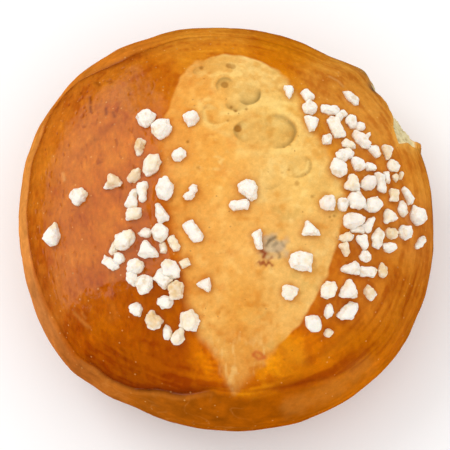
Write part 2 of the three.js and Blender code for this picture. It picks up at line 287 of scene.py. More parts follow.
def dome_normal(x, y, step=0.05):
    slope_x = (dome_height(x + step, y) - dome_height(x - step, y)) / (2 * step)
    slope_y = (dome_height(x, y + step) - dome_height(x, y - step)) / (2 * step)
    normal = np.stack([-slope_x, -slope_y, np.ones_like(slope_x)], 1)
    return normal / np.linalg.norm(normal, axis=1, keepdims=True)


def ball_grid(n):
    """Directions and four-sided faces of a cube blown up to a ball, n faces along each edge."""
    steps = np.tan(np.linspace(-1, 1, n + 1) * math.pi / 4)
    u, v = np.meshgrid(steps, steps, indexing="ij")
    one = np.ones_like(u)
    sides = [(u, v, one), (v, u, -one), (one, u, v), (-one, v, u), (v, one, u), (u, -one, v)]
    points = np.concatenate([np.stack(side, -1).reshape(-1, 3) for side in sides])
    points /= np.linalg.norm(points, axis=1, keepdims=True)
    index = np.arange((n + 1) ** 2).reshape(n + 1, n + 1)
    face = np.stack([index[:-1, :-1], index[1:, :-1], index[1:, 1:], index[:-1, 1:]], -1).reshape(-1, 4)
    faces = np.concatenate([face + side * (n + 1) ** 2 for side in range(6)])
    keys = np.round(points * 1e5).astype(int)  # the sides share their edges, so points there come up twice
    _, first, same = np.unique(keys, axis=0, return_index=True, return_inverse=True)
    return points[first], same.reshape(-1)[faces]


def new_mesh(name, points, faces):
    """A smooth-shaded mesh from points in millimetres and rows of corners."""
    mesh = bpy.data.meshes.new(name)
    mesh.from_pydata([], [], [])
    mesh.vertices.add(len(points))
    mesh.vertices.foreach_set("co", (points * MM).astype(np.float32).ravel())
    mesh.loops.add(faces.size)
    mesh.loops.foreach_set("vertex_index", faces.astype(np.int32).ravel())
    mesh.polygons.add(len(faces))
    mesh.polygons.foreach_set("loop_start", np.arange(0, faces.size, faces.shape[1], dtype=np.int32))
    mesh.update(calc_edges=True)
    mesh.shade_smooth()
    return mesh


def new_object(name, data):
    piece = bpy.data.objects.new(name, data)
    bpy.context.scene.collection.objects.link(piece)
    return piece


def read_threes(rows, key):
    flat = np.zeros(len(rows) * 3, np.float32)
    rows.foreach_get(key, flat)
    return flat.reshape(-1, 3).astype(float)


def normals_of(mesh):
    mesh.update()
    return read_threes(mesh.vertex_normals, "vector")


def points_of(mesh):
    return read_threes(mesh.vertices, "co")


def move_points(mesh, points):
    mesh.vertices.foreach_set("co", points.astype(np.float32).ravel())
    mesh.update()


def colour_attribute(mesh, name, colours):
    attribute = mesh.attributes.new(name, "FLOAT_COLOR", "POINT")
    rgba = np.concatenate([np.clip(colours, 0, 1), np.ones((len(colours), 1))], 1)
    attribute.data.foreach_set("color", rgba.astype(np.float32).ravel())


def number_attribute(mesh, name, values):
    attribute = mesh.attributes.new(name, "FLOAT", "POINT")
    attribute.data.foreach_set("value", values.astype(np.float32))


# ---------------------------- where things lie on the crust, in plan

# The pale middle, where the egg wash ran off.
PALE_OUTLINE = (
    (-1.5, 37.9), (-7.3, 35.8), (-11, 31.4), (-12.5, 26.5), (-14, 22), (-16, 16.5), (-16, 14.5), (-14, 3),
    (-11, -10), (-9, -22), (-6.8, -28), (-5, -31), (-2.8, -32.6), (-1.6, -35.5), (-0.8, -38), (1, -41),
    (2.4, -41.2), (4.2, -38.8), (7.8, -35.6), (13, -30.5), (15.5, -28), (19.5, -22.5), (22.5, -16.5),
    (24, -12.5), (25.5, -7), (26.5, -2.5), (27, 3.5), (25, 9), (22.5, 13.5), (18, 21.5), (16.5, 26.5),
    (13.5, 31.5), (9.8, 35.3), (3, 37.7),
)  # fmt: skip

# The tones of the baked skin: (x, y, how far the tone reaches, red, green, blue).
CRUST_TONES = (
    (-44, 8, 9, 205, 112, 22), (-36, 24, 8, 208, 114, 26), (-24, 32, 6, 200, 110, 20),
    (-17, 34, 4, 200, 104, 6), (-6, 40, 8, 214, 130, 32), (14, 38, 6, 205, 116, 8),
    (26, 32, 6, 216, 138, 44), (36, 22, 9, 225, 148, 54), (44, 12, 6, 224, 138, 40),
    (46, -4, 9, 210, 122, 38), (43, -20, 8, 195, 105, 12), (32, -31, 8, 190, 95, 0),
    (20, -32, 5, 208, 104, 0), (11, -34, 4, 228, 134, 8), (16, -39, 4, 190, 94, 0),
    (-6, -35, 3.5, 218, 116, 0), (-12, -37, 5, 172, 75, 0), (-22, -37, 6, 156, 66, 0),
    (-33, -30, 7, 182, 84, 0), (-40, -20, 6, 198, 106, 26), (-24, -26, 7, 182, 84, 0),
    (-30, -20, 6, 190, 92, 4), (-30, 0, 12, 202, 104, 16), (-30, 14, 9, 206, 108, 22),
    (28, 0, 9, 210, 126, 40), (30, -18, 7, 212, 120, 30), (25, 22, 6, 222, 144, 54),
    (-14, -30, 4, 182, 86, 0),
)  # fmt: skip
PALE_TONES = (
    (-9, 30, 6, 232, 152, 62), (-2, 34, 5, 230, 170, 82), (7, 33.5, 5, 246, 200, 116),
    (-5, 24, 6, 242, 170, 74), (3, 22, 6, 236, 184, 98), (15, 18, 6, 242, 190, 98),
    (-12, 14, 6, 230, 150, 66), (-3, 12, 8, 244, 171, 74), (9, 8, 7, 242, 188, 102),
    (19, 6, 6, 248, 194, 102), (25, 8, 3, 224, 166, 84), (-10, -4, 6, 233, 157, 68),
    (2, -8, 8, 244, 175, 84), (15, -10, 8, 244, 188, 102), (24, -8, 4, 234, 170, 84),
    (-7, -18, 6, 233, 159, 70), (4, -22, 5, 236, 162, 66), (13, -23, 4, 246, 186, 98),
    (9.5, -27.5, 3.5, 244, 180, 92), (-4, -24, 4, 246, 182, 92), (4, -31, 4, 232, 156, 62),
    (-1, -32, 3, 236, 170, 82), (3, -36, 6, 226, 150, 64), (19, -14, 4, 250, 198, 112),
    (-9, -11, 3.5, 240, 168, 80), (19, 12, 4, 250, 198, 110),
)  # fmt: skip
# The bare side below the crease: (azimuth, red, green, blue).
BAND_TONES = (
    (0, 204, 118, 36), (40, 214, 140, 46), (90, 204, 122, 34), (118, 200, 114, 32), (135, 202, 116, 34),
    (155, 216, 136, 56), (180, 222, 142, 66), (205, 206, 126, 62), (225, 178, 98, 36), (245, 170, 90, 16),
    (265, 166, 84, 6), (285, 172, 86, 2), (310, 204, 110, 8), (335, 196, 108, 22),
)  # fmt: skip
SKIN_SHADE = 0.92  # the tones above are as lit; this takes the light out of them
# How clouds in the skin change its red, green and blue.
GOLDEN = np.array((1.17, 1.34, 1.7))
RUDDY = np.array((0.8, 0.63, 0.5))
AMBER = np.array((1.12, 1.1, 0.5))
CREAMY = np.array((1.07, 1.2, 1.45))
TAWNY = np.array((0.88, 0.74, 0.55))

# Blisters under the skin: (x, y, half width, half height, the way that the sharp rim faces,
# how many degrees it reaches each way, depth, greyness). A reach below -45 means no sharp rim.
# A sharp rim gets painted shade inside it and a painted highlight outside it.
BLISTERS = (
    (11.7, 17.6, 4.4, 4.3, 5, 88, 0.7, 0.75),
    (7.2, 17.4, 5.6, 3.8, 180, 20, 0.1, 0.55),
    (15.5, 9.4, 4.2, 3.1, -25, 50, 0.2, 0.45),
    (5, 27.4, 3, 3.4, -60, 50, 0.22, 0.95),
    (-0.4, 29.2, 2.3, 2.4, 120, 70, 0.2, 0.65),
    (-2.9, 21.9, 3.1, 2.9, 200, 80, 0.14, 0.3),
    (2.4, 24.2, 2.7, 1.8, -90, 80, 0.2, 0.65),
    (9.5, 5.5, 3.2, 2.2, -60, 30, 0.06, 0.25),
    (21, 5, 2.6, 5, 180, -60, 0.05, 0.5),
    (24.5, 10, 1.6, 4, 180, -60, 0.05, 0.5),
    (-5.5, 33.2, 2.6, 1.6, 150, 40, 0.1, 0.3),
)

# Small brown dots: (x, y, radius, strength).
DOTS = (
    (2.5, 18, 0.95, 1), (-0.5, 29.5, 0.95, 0.8), (1, 23.5, 0.4, 0.8), (2, 22.5, 0.45, 0.9),
    (4.5, 23, 0.4, 0.7), (16, 5, 0.6, 0.5), (19.5, 2, 0.45, 0.5), (0.2, 20, 0.35, 0.7),
    (-9, 14.8, 0.4, 0.9), (0.5, 34.8, 0.8, 0.7), (1.4, 34.6, 0.8, 0.6), (-6, 34.2, 0.5, 0.8),
    (23.5, -2.5, 0.3, 0.8), (24.5, -2.2, 0.3, 0.8), (24, -3.3, 0.3, 0.6), (14.5, 14.2, 0.3, 0.7),
    (13.2, 13.7, 0.3, 0.7), (14.2, 8.2, 0.3, 0.7), (12.6, 7.4, 0.3, 0.5), (-6.5, 8.5, 0.5, 0.5),
)  # fmt: skip

# Cream lines where the pale skin is stretched: (strength, half width, path).
CREAM_LINES = (
    (0.7, 0.6, ((-1, 21.8), (2.6, 22), (4.7, 23.5), (8, 24.4), (12, 25))),
    (0.5, 0.3, ((-5.3, 22.4), (-4.9, 19.7), (-2.3, 18.4), (-0.1, 19.6))),
    (0.6, 0.7, ((12.8, 22.3), (16.3, 20.6), (18, 17.4), (17, 13.9), (13.6, 12.3))),
    (0.8, 0.35, ((18.7, 10.4), (18.2, 8.4), (15.9, 7))),
    (0.5, 0.5, ((-3.6, 31.8), (-1.7, 32.7), (0.9, 32.4))),
    (0.4, 0.6, ((0.5, 16.5), (-3.5, 18), (-6, 21), (-6.5, 25))),
    (0.4, 0.8, ((3, 12.5), (9, 11.6), (13, 12.6))),
)

# Marks in the brown skin: (share, half width, colour, path).
MARKS = (
    (0.5, 0.45, (214, 132, 54), ((-35, -23.2), (-33.4, -25), (-31.8, -26.6))),
    (0.4, 0.35, (214, 132, 54), ((-33.2, -23.4), (-32.4, -24.6))),
    (0.35, 1, (206, 116, 30), ((-26.4, -22.2), (-25.2, -24.6), (-26.4, -25.2))),
    (0.8, 0.4, (136, 58, 4), ((-32.2, 28.2), (-32, 26.4))),
    (0.8, 0.4, (136, 58, 4), ((-32, 25.3), (-31.8, 24))),
    (0.8, 0.4, (136, 58, 4), ((-28.2, 24.2), (-28, 22.8))),
    (0.8, 0.4, (136, 58, 4), ((-26.4, 23), (-26, 21.8))),
    (0.6, 0.5, (140, 64, 8), ((-31, 32.2), (-30.2, 31.4))),
    (0.6, 0.5, (140, 64, 8), ((-28, 32), (-27.2, 31.6))),
    (0.3, 0.8, (150, 70, 10), ((-26, 20), (-30.5, 16.8), (-34.6, 13))),
    (0.5, 0.45, (232, 164, 90), ((-38.2, 9.2), (-37.8, 7.6))),
    (0.5, 1, (176, 82, 2), ((22.6, 31.5), (22.9, 31.2))),
    (0.35, 0.35, (236, 180, 100), ((24.2, 33), (26.4, 31.8), (27.4, 30.6))),
    (0.4, 1.3, (166, 66, 0), ((11.8, -40.2), (14.2, -39.6), (17.4, -39.8))),
    (0.35, 0.8, (150, 110, 60), ((20.6, 14.6), (21.6, 10.8), (22.6, 6.2))),
    (0.5, 0.5, (236, 158, 44), ((-1.2, 10.2), (1, 11.4))),
)

# The fruit that shows through the skin: (share, half width, colour, path).
FRUIT = (
    (0.95, 0.55, (146, 56, 22), ((7.8, -10.8), (8.7, -11.3), (8.3, -12.2))),
    (0.8, 0.35, (166, 82, 44), ((6.7, -13.6), (7.3, -13.1), (7.7, -13.9))),
    (0.85, 0.38, (156, 66, 32), ((8.2, -13.2), (8.9, -14), (9.4, -13.3), (10.2, -13.9))),
    (0.6, 0.35, (166, 92, 54), ((9.3, -12.9), (10.1, -12.4))),
    (0.8, 0.45, (122, 98, 66), ((8.9, -9.6), (9.6, -8.4), (10.9, -7.7))),
    (0.6, 0.4, (140, 118, 88), ((10.4, -9.6), (11.3, -9))),
    (0.65, 0.4, (136, 112, 80), ((11.4, -10.9), (12.1, -11.6), (11.7, -12.4))),
    (0.5, 0.35, (150, 130, 96), ((12.4, -8.8), (13, -9.6))),
)
SMALL_RING = (
    ((6, -33.6), (6.6, -33), (7.6, -33.4), (8.6, -34.2)),
    ((6.1, -33.8), (7.2, -34.6), (8.4, -34.3)),
)

# Wrinkles and streaks low on the front, with the side laid flat: (share, half width, colour, path).
WRINKLES = (
    (0.2, 0.5, (214, 140, 66), ((-20, -49), (-17, -50.5), (-14, -50))),
    (0.4, 0.9, (208, 122, 46), ((-30.5, -37.6), (-27, -39.8), (-23.5, -41.4))),
    (0.4, 1.6, (208, 130, 48), ((14, -44.2), (20, -42.2), (26.7, -38.8), (32.6, -34.2))),
    (0.45, 1, (166, 68, 0), ((12.6, -40.8), (19.7, -38.8), (25.5, -35.8), (29, -32.2))),
    (0.4, 2.4, (238, 154, 26), ((12.5, -31.5), (16.5, -33.5))),
    (0.4, 1.2, (222, 136, 20), ((22, -33.5), (28, -28.5))),
    (0.35, 1, (164, 70, 0), ((18.5, -34.6), (25, -31), (30, -26))),
)

# ---------------------------- the roll


class Skin:
    """The points of the crust in millimetres, and what the parts of its look need to know of them."""

    def __init__(self, azimuth, place):
        self.azimuth, self.place = azimuth, place
        self.points = smooth_crust(azimuth, place)
        self.plan = self.points[:, :2]
        self.x, self.y = self.plan.T
        self.left, self.front = -self.x / MEAN_RADIUS, -self.y / MEAN_RADIUS
        self.crease = place_inside(around_list(CREASE, azimuth), azimuth)
        self.fold = around_list(FOLD, azimuth)
        waver = 0.35 * noise(self.points, 2.0, 12) * ease(0.3, 0.9, self.fold)
        self.down = (place - self.crease) * DOME_ARC + waver  # below the crease
        self.top = ease(0.85, 0.75, place)  # 1 on the dome, 0 on the side
        # The plan with the side laid flat around it, so that it goes on past the girth.
        spread = np.where(place < 1, np.hypot(self.x, self.y), MEAN_RADIUS + (place - 1) * DOME_ARC)
        turn = np.radians(azimuth)
        self.flat = np.stack([spread * np.cos(turn), spread * np.sin(turn)], 1)
        # Points on slightly turned axes, for streaks that lean as they do on the bun.
        self.lean = self.points @ np.array([[0.97, 0.22, 0], [-0.24, 0.95, 0.2], [0, -0.2, 0.98]]).T
        self.relief = np.zeros(len(place))  # outward, and each part below adds its own

    def line(self, path, width, waver=0.0):
        """1 along a path in plan, fading over the width, and only on the dome."""
        return bump(path_distance(self.plan, path) + waver, width) * self.top


def swell_crust(skin):
    """Gentle lumps, the sunk crease, and the swell of the band below it."""
    points, down, fold = skin.points, skin.down, skin.fold
    skin.relief += 0.2 * cloud(points, 14, 2) * ease(1.0, 0.8, skin.place)
    skin.relief += 0.06 * cloud(points, 5, 2, 5)
    skin.relief += 0.018 * cloud(points, 1.4, 2, 9)
    skin.relief -= 0.75 * fold * bump(down + 0.35, 0.8)
    skin.relief += 0.12 * np.minimum(fold, 1) * bump(down - 1.4, 0.8)
    share = np.clip(down / np.maximum((1 - skin.crease) * DOME_ARC, 1), 0, 1)
    abrupt = ease(0.1, 0.7, fold)
    skin.relief += BAND_SWELL * np.sin(math.pi * share) * (abrupt + (1 - abrupt) * ease(0, 0.7, share))
    on_band = ease(0.1, 0.9, down) * ease(1.5, 1.1, skin.place)
    skin.relief += 0.08 * on_band * noise(points, (4, 4, 1.4), 21)


class Tear:
    """The torn patch of the side: how far inside it each point is, its pores, and what stands at its ends."""

    def __init__(self, skin):
        points, azimuth, place = skin.points, skin.azimuth, skin.place
        top_place = place_inside(np.interp(azimuth, *np.array(CRUMB_TOP).T), azimuth)
        wander = 1.5 * noise(points, 3.2, 3) + 0.6 * noise(points, 1.1, 8)
        wander += 3.0 * ease(0.97, 1.1, place) * noise(points, 6, 6)
        across = np.minimum(azimuth - CRUMB_START, CRUMB_END - azimuth) * GIRTH_DEGREE + wander
        deep = np.minimum(place - top_place, CRUMB_FOOT - place) * DOME_ARC + wander * 0.5
        self.inset = np.minimum(across, deep)
        self.torn = ease(-0.25, 0.25, self.inset)
        self.pores = ease(0.42, 0.2, crystals(points, 1.5, 33)) * self.torn
        self.knob = bump(azimuth - 48.5, 2.4) * bump(place - 0.86, 0.05)
        self.notch = bump(azimuth - 42.8, 2.1) * bump(place - 0.84, 0.06)
        self.flap = bump(azimuth - 23.6, 1.7) * bump(place - 0.94, 0.06)
        sunk = 0.8 * ease(-0.3, 0.9, self.inset) + 0.5 * ease(0.5, 5, self.inset)
        skin.relief -= sunk * (1 + 0.45 * cloud(points, 1.6, 2, 31)) + 0.45 * self.pores
        skin.relief += 0.35 * bump(self.inset + 0.5, 0.45) * ease(32, 23, azimuth)
        skin.relief += 0.7 * self.knob - 0.5 * self.notch + 0.8 * self.flap

    def paint(self, skin, colours):
        """The pale crumb with its tan pores and light rim, the brown knob and flap, and painted shade in the
        notch.
        """
        crumb = layered(
            plain(skin.points, (228, 212, 164)),
            ((210, 190, 134), 0.8 * ease(-0.2, 0.9, cloud(skin.points, 1.8, 3, 130))),
            ((240, 228, 188), 0.7 * ease(0.2, 0.9, cloud(skin.points, 2.6, 3, 135))),
            ((176, 148, 92), 0.5 * self.pores),
            ((248, 228, 172), 0.8 * bump(self.inset - 0.2, 0.5)),
        )
        return layered(
            mix(colours, crumb, self.torn),
            ((242, 172, 74), 0.7 * bump(self.inset + 0.6, 1.0) * (1 - self.torn)),
            ((150, 122, 66), 0.7 * self.knob),
            # Painted shade: dark grey in the sunk notch.
            ((92, 86, 78), 0.85 * self.notch),
            ((232, 140, 40), 0.8 * self.flap),
        )


def sink_blisters(skin):
    """Sinks the blisters. Gives how grey each point is, and how much painted shade lies inside the sharp rims
    and painted highlight outside them.
    """
    grey, rim_painted_shade, rim_painted_highlight = np.zeros((3, len(skin.points)))
    for x, y, wide, high, facing, sharp, sunk, greyness in BLISTERS:
        dx, dy = (skin.x - x) / wide, (skin.y - y) / high
        radius = math.sqrt(wide * high)
        off = np.abs((np.degrees(np.arctan2(dy, dx)) - facing + 180) % 360 - 180)
        r = np.hypot(dx, dy) * radius * (1 + 0.05 * noise(skin.points, radius * 0.6, x))
        rim_share = ease(sharp + 45, sharp, off)
        soft = ease(radius * 1.05, radius * 0.5, r)
        hard = ease(radius + 0.1, radius - 0.3, r)
        bowl = (rim_share * hard + (1 - rim_share) * soft) * skin.top
        turn = math.radians(facing)
        slope = ease(-1, 1, dx * math.cos(turn) + dy * math.sin(turn))
        skin.relief -= sunk * bowl * (0.3 + 0.7 * slope)
        skin.relief += 0.25 * sunk * rim_share * bump(r - radius - 0.5, 0.45) * skin.top
        grey = np.maximum(grey, greyness * bowl * (0.4 + 0.6 * slope))
        # Painted shade inside the sharp rim, on its steep sunk side.
        edge = bump(np.maximum(radius - r - 0.1, 0), 0.9) * hard
        rim_painted_shade = np.maximum(rim_painted_shade, greyness * rim_share * edge * slope * skin.top)
        # Painted highlight on the ridge outside the sharp rim.
        halo = bump(r - radius - 0.75, 0.55) * skin.top
        rim_painted_highlight = np.maximum(rim_painted_highlight, min(1, 2.5 * sunk) * rim_share * halo)
    grey = grey * np.clip(0.85 + 0.5 * cloud(skin.points, 1.8, 2, 94), 0.3, 1.1)
    return grey, rim_painted_shade, rim_painted_highlight


def sink_dots(skin):
    """Sinks the small brown dots, and gives how strong they are at each point."""
    dots = np.zeros(len(skin.points))
    for x, y, radius, strength in DOTS:
        r = np.hypot(skin.x - x, skin.y - y)
        dot = strength * ease(radius + 0.2, radius - 0.3, r) * skin.top
        skin.relief -= 0.15 * dot
        dots = np.maximum(dots, dot)
    return dots


def pale_patch(skin):
    """How far inside the pale middle each point is, and its share of the pale colour."""
    x, y = skin.x, skin.y
    near = np.flatnonzero(skin.place < 0.8)
    outline = rounded(PALE_OUTLINE)
    wandered = strayed(skin.plan[near], skin.points[near], 0.45, 2.2, 1, (40, 50))
    gap = path_distance(wandered, outline, closed=True)
    inset = np.full(len(x), -60.0)
    inset[near] = np.where(inside(wandered, outline), gap, -gap)
    # The edge is crisp at the back and on the right, less so at the front tip, and soft elsewhere.
    crisp = ease(12, 24, y) * ease(20, 10, x)
    crisp = np.maximum(crisp, ease(4, 14, x) * ease(-38, -30, y) * ease(8, -6, y))
    crisp = np.maximum(crisp, 0.3 * ease(-31, -36, y))
    pale = ease(-1, 1, inset / (1.6 - 1.25 * crisp))
    skin.relief -= 0.06 * pale
    return inset, pale


def glazed_skin(skin, pale_inset):
    """The colours of the brown skin: its tones, with clouds, rings, streaks, pits and marks over them."""
    points, lean, x, y = skin.points, skin.lean, skin.x, skin.y
    crust = blended(CRUST_TONES, strayed(skin.flat, points, 2.0, 9, 3, (55, 57)))
    tint = 0.45 * cloud(points, 8, 3, 60) + 0.5 * cloud(lean, (1.9, 3.0, 3.0), 3, 65)
    tint += 0.25 * noise(lean, (0.6, 0.9, 0.9), 70)
    rings = np.stack([skin.azimuth * 0.8, skin.place * DOME_ARC, np.zeros(len(x))], 1)
    ringed = ease(0.6, 0.85, np.hypot(x, y) / MEAN_RADIUS) * ease(0.8, 0.4, skin.left)
    tint += cloud(rings, (11, 1.5, 1), 2, 68) * ringed * (0.7 + 0.4 * ease(0, 0.6, skin.front))
    tint *= 1 + 0.5 * ease(0, 0.6, skin.front)
    crust = mix(crust, crust * GOLDEN, ease(0.0, 0.9, tint))
    crust = mix(crust, crust * RUDDY, ease(0.0, -0.9, tint))
    halo = bump(np.minimum(pale_inset, 0) + 1.6, 2.4) * ease(0.8, 0.6, skin.place)
    crust = mix(crust, crust * AMBER, 0.6 * halo)

    streaky = ease(0.15, 0.5, skin.left) * ease(0.9, 0.6, -skin.front)
    streaks = noise(lean, (0.8, 3.2, 2.4), 70) + 0.6 * noise(lean, (0.5, 1.6, 1.2), 75)
    crust *= 1 + 0.07 * (streaks * streaky)[:, None]
    pits = noise(lean, (0.7, 1.9, 1.8), 77) + 0.7 * noise(lean, (0.45, 1.0, 1.0), 79)
    pits = ease(0.62, 0.95, pits) * streaky
    crust = mix(crust, crust * RUDDY * 0.85, 0.75 * pits * (0.45 + 0.55 * ease(-6, 6, y)))
    skin.relief -= 0.1 * pits + 0.02 * streaks * streaky
    for share, width, tone, path in MARKS:
        line = share * skin.line(path, width)
        crust = mix(crust, linear(tone), line)
        skin.relief -= 0.05 * line
    return crust


def pale_skin(skin):
    """The colours of the pale middle: its tones, clouds, freckles, fibres, blisters with painted shade and
    highlight at their rims, cream lines and dots.
    """
    points, x, y = skin.points, skin.x, skin.y
    middle = blended(PALE_TONES, strayed(skin.plan, points, 1.2, 6, 2, (83, 84)))
    tint = 0.6 * cloud(points, 4.5, 3, 80) + 0.5 * cloud(points, 1.5, 2, 82)
    middle = mix(middle, middle * CREAMY, ease(0.05, 0.8, tint))
    middle = mix(middle, middle * TAWNY, ease(-0.05, -0.8, tint))
    rosy = ease(0.3, 0.9, cloud(points, 2.6, 3, 87)) * ease(12, -4, x)
    wisps = ease(0.35, 0.9, cloud(points, (3.4, 2.2, 3), 3, 88)) * ease(-14, 2, x) * ease(-8, 4, y)
    freckles = noise(points, 1.2, 96) + 0.6 * noise(points, 0.6, 97)
    fibres = noise(points, (0.8, 3.2, 3), 89) + 0.5 * noise(points, (0.5, 1.4, 1), 90)
    drab = ease(0.35, 1.0, cloud(points, 3.4, 3, 91)) * ease(-4, 10, x)
    grey, rim_painted_shade, rim_painted_highlight = sink_blisters(skin)
    middle = layered(
        middle,
        ((228, 140, 56), 0.4 * rosy),
        ((255, 214, 128), 0.62 * wisps),
        ((214, 128, 46), 0.4 * ease(0.7, 1.05, freckles) * ease(14, -4, x)),
        ((244, 188, 108), 0.75 * ease(0.1, 0.8, fibres) * ease(-27, -33, y)),
        ((216, 170, 88), 0.5 * drab),
        ((214, 168, 90), 0.75 * grey),
        # Painted highlight outside the blisters' sharp rims, then painted shade inside them.
        ((254, 208, 118), 0.8 * rim_painted_highlight),
        ((142, 112, 56), 0.85 * rim_painted_shade),
    )
    waver = 0.3 * noise(points, 1.5, 93)
    for share, width, path in CREAM_LINES:
        line = share * skin.line(path, width, waver)
        middle = mix(middle, srgb(255, 212, 124), line)
        skin.relief += 0.06 * line
    return mix(middle, srgb(160, 100, 28), 0.85 * sink_dots(skin))


def paint_fruit(skin, colours, pale):
    """The dark fruit that shows through the pale skin, and the small ring near its front tip."""
    r = np.hypot(skin.x - 10.5, skin.y + 10)
    spot = ease(4.4, 1.2, r + 1.3 * cloud(skin.points, 1.8, 2, 90)) * pale
    colours = mix(colours, srgb(196, 178, 148), 0.72 * spot)
    waver = 0.28 * noise(skin.points, 0.7, 95)
    for share, width, tone, path in FRUIT:
        line = bump(np.maximum(path_distance(skin.plan, path) + waver, 0), width) * skin.top
        colours = mix(colours, linear(tone), share * line)
        skin.relief -= 0.08 * line
    for path in SMALL_RING:
        line = skin.line(path, 0.42)
        colours = mix(colours, srgb(206, 104, 44), 0.75 * line)
        skin.relief -= 0.06 * line
    return colours


def paint_side(skin, colours):
    """The dull side below the crease, with its wrinkles, and painted shade along the crease. Also gives how
    bare of egg each point is.
    """
    points, azimuth, down, fold = skin.points, skin.azimuth, skin.down, skin.fold
    band = linear(np.stack([around_list(BAND_TONES, azimuth, channel) for channel in (1, 2, 3)], 1))
    band *= 1 + 0.2 * cloud(points, (4, 4, 2.4), 3, 100)[:, None]
    band *= 1 + 0.09 * noise(points, (1.2, 1.2, 0.9), 105)[:, None]
    crackle = bump(cloud(points, (5, 5, 3.5), 2, 102), 0.05) * ease(-0.3, 0.3, noise(points, 4, 103))
    crackle = crackle * ease(222, 236, azimuth) * ease(285, 265, azimuth)
    band = mix(band, srgb(220, 146, 70), 0.28 * crackle)

    soft_start = 3.5 * (1 - ease(0.1, 0.5, fold))
    bare = ease(-0.15 - 0.3 * soft_start, 0.35 + soft_start, down) * around_list(BARE, azimuth)
    bare = np.maximum(bare, ease(1.0, 1.3, skin.place + 0.06 * cloud(points, 5, 2, 108)))
    colours = mix(colours, band, bare)
    waver = 0.5 * noise(points, 1.8, 98)
    above = ease(1.2, 1.05, skin.place)
    for share, width, tone, path in WRINKLES:
        line = share * above * bump(path_distance(skin.flat, path) + waver * width, width)
        colours = mix(colours, linear(tone), line)
        skin.relief += 0.08 * line
    # Painted shade along the crease: a thin dark line and a broader dark band above it, stronger where the
    # fold is deeper.
    shadow = np.clip(fold * 0.85, 0, 0.95) * bump(down + 1.5, 2.0) * ease(0.2, -0.2, down)
    colours = layered(
        colours,
        ((132, 50, 2), np.clip(fold * 0.6, 0, 0.7) * bump(down + 0.6, 0.55)),
        ((132, 46, 0), shadow),
        ((204, 120, 42), 0.4 * ease(0.3, 1.0, fold) * bump(down - 0.7, 0.7)),
    )
    return colours, bare


def paint_underside(skin, colours):
    """The underside is browner and dull."""
    base = plain(skin.points, (150, 84, 30)) * (1 + 0.16 * cloud(skin.points, 6, 3, 110)[:, None])
    base = mix(base, srgb(206, 150, 92), 0.5 * ease(0.2, 0.9, cloud(skin.points, 3, 3, 120)))
    return mix(colours, base, ease(1.15, 1.75, skin.place))


def build_roll():
    """The crust's mesh and colours, how far its plan was moved to fit the CAD, and its points."""
    directions, faces = ball_grid(FULL_GRID)
    azimuth = np.degrees(np.arctan2(directions[:, 1], directions[:, 0])) % 360
    polar = np.degrees(np.arccos(np.clip(directions[:, 2], -1, 1)))
    skin = Skin(azimuth, np.interp(polar, (0, 100, 150, 180), (0, 1, 2, 3)))
    mesh = new_mesh("crust", skin.points, faces)
    normals = normals_of(mesh)

    swell_crust(skin)
    tear = Tear(skin)
    pale_inset, pale = pale_patch(skin)
    colours = mix(glazed_skin(skin, pale_inset), pale_skin(skin), pale)
    colours = paint_fruit(skin, colours, pale)
    colours, bare = paint_side(skin, colours)
    colours = paint_underside(skin, colours)
    colours = tear.paint(skin, colours)

    points = skin.points + normals * skin.relief[:, None]
    points[:, 2] = np.maximum(points[:, 2], 0)
    plan = points[:, :2]
    shift = (ROLL_LOW[:2] + ROLL_HIGH[:2]) / 2 - (plan.min(0) + plan.max(0)) / 2
    points[:, :2] += shift
    move_points(mesh, points * MM)
    glaze = 1 - 0.75 * pale - bare - tear.torn - ease(0.95, 1.3, skin.place)
    number_attribute(mesh, "glaze", np.clip(glaze, 0, 1))
    on_dome = ease(0.3, -0.3, skin.down)
    number_attribute(mesh, "streaky", ease(0.1, 0.5, skin.left) * on_dome * (1 - pale))
    return mesh, colours, shift, points


# ---------------------------- sugar

# Where grains took colour in the oven: (x, y, radius, how toasted). Above 1 a grain is tan.
TOASTED = (
    (-26, 6, 2.1, 1.5), (-20, 14, 2.1, 1.7), (-21, 7, 2.2, 1.5), (-11.5, -19.5, 2.4, 1.6),
    (-16.5, -26, 2.2, 1.7), (37, 14, 1.9, 1.4), (40.5, 9, 1.2, 1.4), (39, 8, 1.1, 1.2), (38.5, 4, 1.9, 1.2),
    (27, -7, 1.8, 1.3), (27, -10, 1.8, 1.4), (38, -5, 1.7, 1.3), (35.5, -14, 1.9, 1.5),
    (32.5, -19, 1.9, 1.3), (23, -28.5, 1.4, 1.2), (-17, 9.5, 3, 0.9), (-21, -2, 2.1, 0.8),
    (-12, -9, 2.1, 0.9), (-22, -7, 1.6, 0.9), (-25.5, -9.5, 1.5, 0.7), (-9.5, -13.5, 1.5, 1),
    (-11, -29.5, 2.2, 0.9), (-8.5, -26, 2.5, 1), (-33.2, 3.8, 1.5, 0.9), (-16.8, 16.8, 1.4, 0.9),
    (-18, 3.2, 1.2, 0.7), (-19.8, -13.6, 0.9, 1), (-13.4, -13.6, 1.4, 0.8), (28, 15, 1.8, 0.7),
    (28.5, 6, 2.1, 0.9), (37, -1, 1.9, 0.7), (23, -19, 2.2, 0.6), (26.6, -17.6, 1.6, 0.7),
    (18.6, -13, 1.6, 0.7), (14, -20, 1.9, 0.6), (-40.2, -3.2, 1.3, 0.9), (25, 19, 2.2, 0.4),
    (38.5, 11, 1.8, 0.5), (34.5, -6.5, 2, 0.4),
)  # fmt: skip
# Where they look a little pink: (x, y, radius).
PINKISH = (
    (-8, 20.5, 2), (-8, 2.5, 2), (-18.5, -6.5, 1.8), (-4.5, -18, 1.9), (23, 0.5, 2.2), (33, 6, 3),
    (30, 18, 3), (30, -3, 3),
)  # fmt: skip

